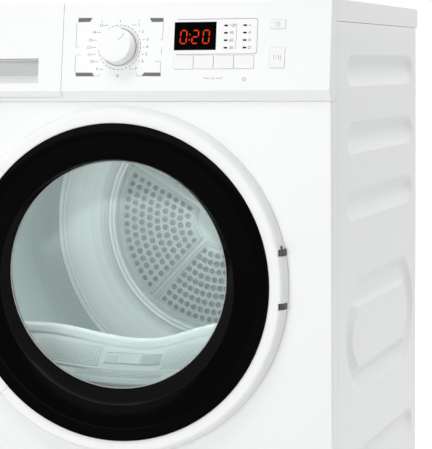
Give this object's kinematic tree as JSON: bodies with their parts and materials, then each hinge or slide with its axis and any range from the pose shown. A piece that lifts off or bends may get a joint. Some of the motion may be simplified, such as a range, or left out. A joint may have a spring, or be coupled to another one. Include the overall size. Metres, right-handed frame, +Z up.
{
  "type": "clothes dryer",
  "caption": "Free-standing front-loading condenser clothes dryer with a round glazed door, a control fascia with a water drawer and pressed side panels.",
  "frame": {"origin": "on the floor, under the middle of the whole object", "axes": "+X to the right seen from the front, +Y from the front to the back, +Z up"},
  "size_m": [0.595, 0.618, 0.85],
  "materials": {
    "white_steel": "smooth white enamel",
    "white_plastic": "semi-gloss white moulding",
    "black_gloss": "high gloss black",
    "dark_window": "gloss black pane",
    "door_glass": "lightly green tempered glass",
    "pale_plastic": "satin pale grey",
    "grey_plastic": "fine grained grey",
    "drum_steel": "satin coated steel",
    "bright_steel": "bright turned steel",
    "zinc_sheet": "dull zinc",
    "fin_aluminium": "satin",
    "black_rubber": "matt",
    "felt": "wool felt",
    "lamp_lens": "frosted",
    "circuit_board": "lacquered laminate"
  },
  "bodies": {
    "cabinet": {"side_panel_left": "white_steel", "side_panel_right": "white_steel", "front_panel": "white_steel", "top_plate": "white_plastic", "control_panel": "white_plastic", "display_window": "dark_window", "front_bulkhead": "pale_plastic", "light_guide": "pale_plastic", "base_plate": "grey_plastic", "lint_filter": "grey_plastic", "door_lock": "grey_plastic", "drain_pump": "grey_plastic", "drawer_housing": "grey_plastic", "fan_housing": "grey_plastic", "rear_bearing": "bright_steel", "hinge_bracket": "bright_steel", "heater": "bright_steel", "rear_cover": "zinc_sheet", "rear_bulkhead": "zinc_sheet", "air_duct": "zinc_sheet", "motor_body": "zinc_sheet", "heat_exchanger": "fin_aluminium", "door_seal": "black_rubber", "drive_belt": "black_rubber", "cord_inlet_gland": "black_rubber", "drum_front_seal": "felt", "drum_lamp": "lamp_lens", "control_board": "circuit_board"},
    "door": {"door_outer_ring": "white_plastic", "door_handle": "white_plastic", "door_black_ring": "black_gloss", "door_glass": "door_glass", "door_inner_frame": "grey_plastic"},
    "drum": {"drum_shell": "drum_steel", "drum_back": "drum_steel", "drum_air_plate": "drum_steel", "lifter_1": "pale_plastic", "lifter_2": "pale_plastic", "lifter_3": "pale_plastic", "drum_shaft": "bright_steel"},
    "motor_rotor": {"motor_shaft": "bright_steel", "process_fan": "grey_plastic", "cooling_fan": "grey_plastic"},
    "idler": {"idler_wheel": "black_rubber"},
    "roller_left": {"drum_roller_left": "black_rubber"},
    "roller_right": {"drum_roller_right": "black_rubber"},
    "water_drawer": {"drawer_front": "white_plastic", "water_tank": "pale_plastic"},
    "flap": {"service_flap": "white_plastic"},
    "knob": {"program_knob": "white_plastic"},
    "button_1": {"option_button_1": "pale_plastic"},
    "button_2": {"option_button_2": "pale_plastic"},
    "button_3": {"option_button_3": "pale_plastic"},
    "button_4": {"option_button_4": "pale_plastic"},
    "button_power": {"power_button": "pale_plastic"},
    "button_start": {"start_button": "pale_plastic"},
    "foot_1_body": {"foot_1": "black_rubber"},
    "foot_2_body": {"foot_2": "black_rubber"},
    "foot_3_body": {"foot_3": "black_rubber"},
    "foot_4_body": {"foot_4": "black_rubber"}
  },
  "joints": [
    {"name": "door_swing", "type": "hinge", "parent": "cabinet", "child": "door", "pos_m": [0.2305, -0.28896, 0.4705], "axis": [0, 0, 1], "range_deg": [0, 165]},
    {"name": "drum_spin", "type": "hinge", "parent": "cabinet", "child": "drum", "pos_m": [0, 0.02104, 0.5155], "axis": [0, 1, 0], "continuous": true},
    {"name": "motor_spin", "type": "hinge", "parent": "cabinet", "child": "motor_rotor", "pos_m": [0.095, 0.02104, 0.118], "axis": [0, 1, 0], "continuous": true},
    {"name": "idler_spin", "type": "hinge", "parent": "cabinet", "child": "idler", "pos_m": [0.029, -0.06496, 0.162], "axis": [0, 1, 0], "continuous": true},
    {"name": "roller_left_spin", "type": "hinge", "parent": "cabinet", "child": "roller_left", "pos_m": [-0.12903, -0.21396, 0.2388], "axis": [0, 1, 0], "continuous": true},
    {"name": "roller_right_spin", "type": "hinge", "parent": "cabinet", "child": "roller_right", "pos_m": [0.12903, -0.21396, 0.2388], "axis": [0, 1, 0], "continuous": true},
    {"name": "drawer_slide", "type": "slide", "parent": "cabinet", "child": "water_drawer", "axis": [0, -1, 0], "range_m": [0, 0.38]},
    {"name": "flap_hinge", "type": "hinge", "parent": "cabinet", "child": "flap", "pos_m": [-0.162, -0.27496, 0.0675], "axis": [1, 0, 0], "range_deg": [0, 90]},
    {"name": "knob_turn", "type": "hinge", "parent": "cabinet", "child": "knob", "pos_m": [0.005, -0.28365, 0.7885], "axis": [0, -0.9878, 0.1558], "continuous": true},
    {"name": "option_button_1_press", "type": "slide", "parent": "cabinet", "child": "button_1", "axis": [0, 0.9878, -0.1558], "range_m": [0, 0.0015], "stiffness_N_per_m": 400},
    {"name": "option_button_2_press", "type": "slide", "parent": "cabinet", "child": "button_2", "axis": [0, 0.9878, -0.1558], "range_m": [0, 0.0015], "stiffness_N_per_m": 400},
    {"name": "option_button_3_press", "type": "slide", "parent": "cabinet", "child": "button_3", "axis": [0, 0.9878, -0.1558], "range_m": [0, 0.0015], "stiffness_N_per_m": 400},
    {"name": "option_button_4_press", "type": "slide", "parent": "cabinet", "child": "button_4", "axis": [0, 0.9878, -0.1558], "range_m": [0, 0.0015], "stiffness_N_per_m": 400},
    {"name": "power_press", "type": "slide", "parent": "cabinet", "child": "button_power", "axis": [0, 0.9878, -0.1558], "range_m": [0, 0.0015], "stiffness_N_per_m": 400},
    {"name": "start_press", "type": "slide", "parent": "cabinet", "child": "button_start", "axis": [0, 0.9878, -0.1558], "range_m": [0, 0.0015], "stiffness_N_per_m": 400},
    {"name": "foot_1_screw", "type": "hinge", "parent": "cabinet", "child": "foot_1_body", "pos_m": [-0.2525, -0.22896, 0.01], "axis": [0, 0, 1], "continuous": true},
    {"name": "foot_2_screw", "type": "hinge", "parent": "cabinet", "child": "foot_2_body", "pos_m": [-0.2525, 0.24604, 0.01], "axis": [0, 0, 1], "continuous": true},
    {"name": "foot_3_screw", "type": "hinge", "parent": "cabinet", "child": "foot_3_body", "pos_m": [0.2525, -0.22896, 0.01], "axis": [0, 0, 1], "continuous": true},
    {"name": "foot_4_screw", "type": "hinge", "parent": "cabinet", "child": "foot_4_body", "pos_m": [0.2525, 0.24604, 0.01], "axis": [0, 0, 1], "continuous": true}
  ],
  "couplings": [
    {"joint": "motor_spin", "follows": "drum_spin", "ratio": 26.027},
    {"joint": "idler_spin", "follows": "drum_spin", "ratio": 18.712},
    {"joint": "roller_left_spin", "follows": "drum_spin", "ratio": -14.25},
    {"joint": "roller_right_spin", "follows": "drum_spin", "ratio": -14.25}
  ]
}
